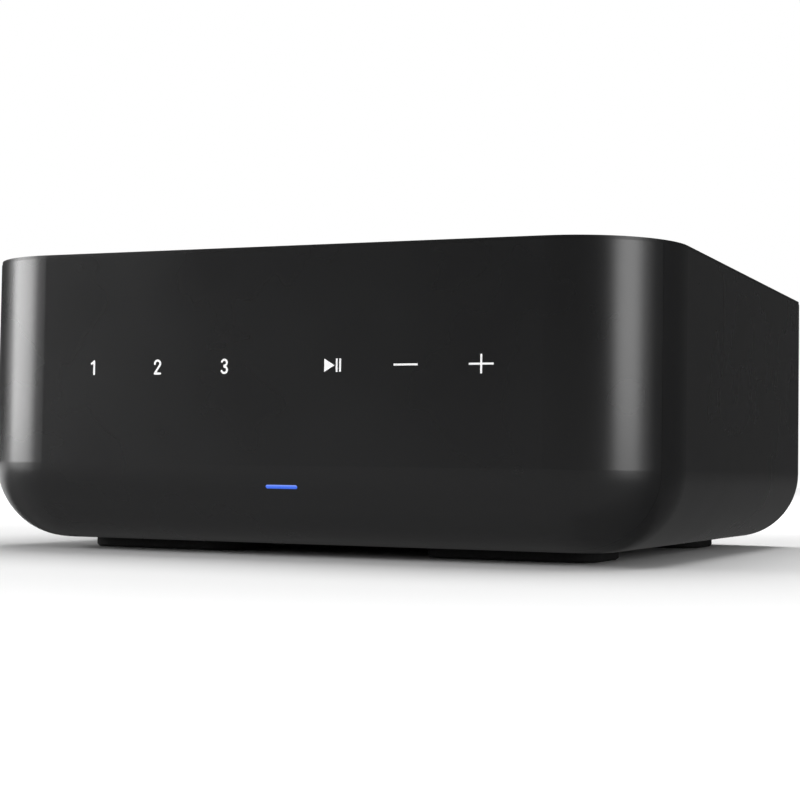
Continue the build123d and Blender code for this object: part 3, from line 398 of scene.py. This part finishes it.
def painted_reflection_card(name, width, height, place, tilt, turn, near, far, fade):
    """A card that only gloss shows: a painted reflection, dark or faintly glowing, which neither lights nor
    shades anything. Its glow goes from near, at its first edge, to far.
    """
    bpy.ops.mesh.primitive_plane_add(size=1)
    card = bpy.context.object
    card.name = name
    card.scale = (width, height, 1)
    card.rotation_euler = (tilt, 0, turn)
    card.location = place
    look = bpy.data.materials.new(name)
    look.use_nodes = True
    tree = look.node_tree
    tree.nodes.remove(tree.nodes["Principled BSDF"])
    parts = add_node(tree, "ShaderNodeSeparateXYZ")
    tree.links.new(object_space(tree), parts.inputs["Vector"])
    first_edge = -0.5
    shade = add_node(tree, "ShaderNodeMapRange", {
        "From Min": first_edge,
        "From Max": first_edge + fade / height,
        "To Min": near,
        "To Max": far,
    })
    shade.interpolation_type = "SMOOTHSTEP"
    tree.links.new(parts.outputs["Y"], shade.inputs["Value"])
    glow = add_node(tree, "ShaderNodeEmission")
    tree.links.new(shade.outputs["Result"], glow.inputs["Strength"])
    tree.links.new(glow.outputs["Emission"], tree.nodes["Material Output"].inputs["Surface"])
    card.data.materials.append(look)
    card.visible_camera = False
    card.visible_diffuse = False
    card.visible_shadow = False


def standing_reflection_card(name, azimuth, width, height, near, far):
    """A painted-reflection card that stands on the floor, one metre from the object, and faces it."""
    painted_reflection_card(name, width, height, around(azimuth, 1.0, height / 2), tilt=math.pi / 2,
              turn=math.radians(azimuth), near=near, far=far, fade=0.12)


softbox("left_softbox", azimuth=-64, distance=0.9, width=0.52, height=0.4, centre_height=0.2, radiance=8.8)
softbox("right_softbox", azimuth=66, distance=0.9, width=0.38, height=0.4, centre_height=0.2, radiance=5.3)
softbox("top_softbox", azimuth=180, distance=0.35, width=1.0, height=0.8, centre_height=1.1, radiance=5.0)
# Standing cards that paint dark reflections on the case's front, left and right sides
standing_reflection_card("front_reflection_card", azimuth=4, width=2.07, height=0.9, near=0.34, far=0.095)
standing_reflection_card("left_reflection_card", azimuth=-120, width=1.0, height=0.7, near=0.06, far=0.06)
standing_reflection_card("side_reflection_card", azimuth=137, width=2.0, height=0.7, near=0.06, far=0.06)
# Cards on the floor that paint the floor's reflection; the front one is darkest next to the case, a painted
# shade in the reflection
painted_reflection_card("front_floor_reflection_card", width=2.4, height=1.4, place=(0, -0.765, CARD_LIFT), tilt=0,
          turn=math.pi, near=0.04, far=0.36, fade=0.04)
painted_reflection_card("side_floor_reflection_card", width=1.3, height=1.12, place=(0.638, 0.55, CARD_LIFT), tilt=0,
          turn=-math.pi / 2, near=0.12, far=0.065, fade=0.25)

# Camera
forward = Vector((-math.sin(YAW) * math.cos(PITCH), math.cos(YAW) * math.cos(PITCH), math.sin(PITCH)))
level_right = Vector((math.cos(YAW), math.sin(YAW), 0))
level_up = level_right.cross(forward)
right = math.cos(ROLL) * level_right + math.sin(ROLL) * level_up
up = math.cos(ROLL) * level_up - math.sin(ROLL) * level_right
camera_data = bpy.data.cameras.new("camera")
camera_data.sensor_width = SENSOR_MM
camera_data.lens = FOCAL_PIXELS / IMAGE_PIXELS * SENSOR_MM
camera_data.clip_start = CLIP_START
camera = bpy.data.objects.new("camera", camera_data)
bpy.context.scene.collection.objects.link(camera)
camera_turn = Matrix((right, up, -forward)).transposed().to_4x4()
camera.matrix_world = Matrix.Translation(
    Vector(CAMERA_BEFORE_FRONT) + Vector((0, FRONT, FOOT_HEIGHT))) @ camera_turn
bpy.context.scene.camera = camera

bpy.context.scene.view_settings.view_transform = "Standard"
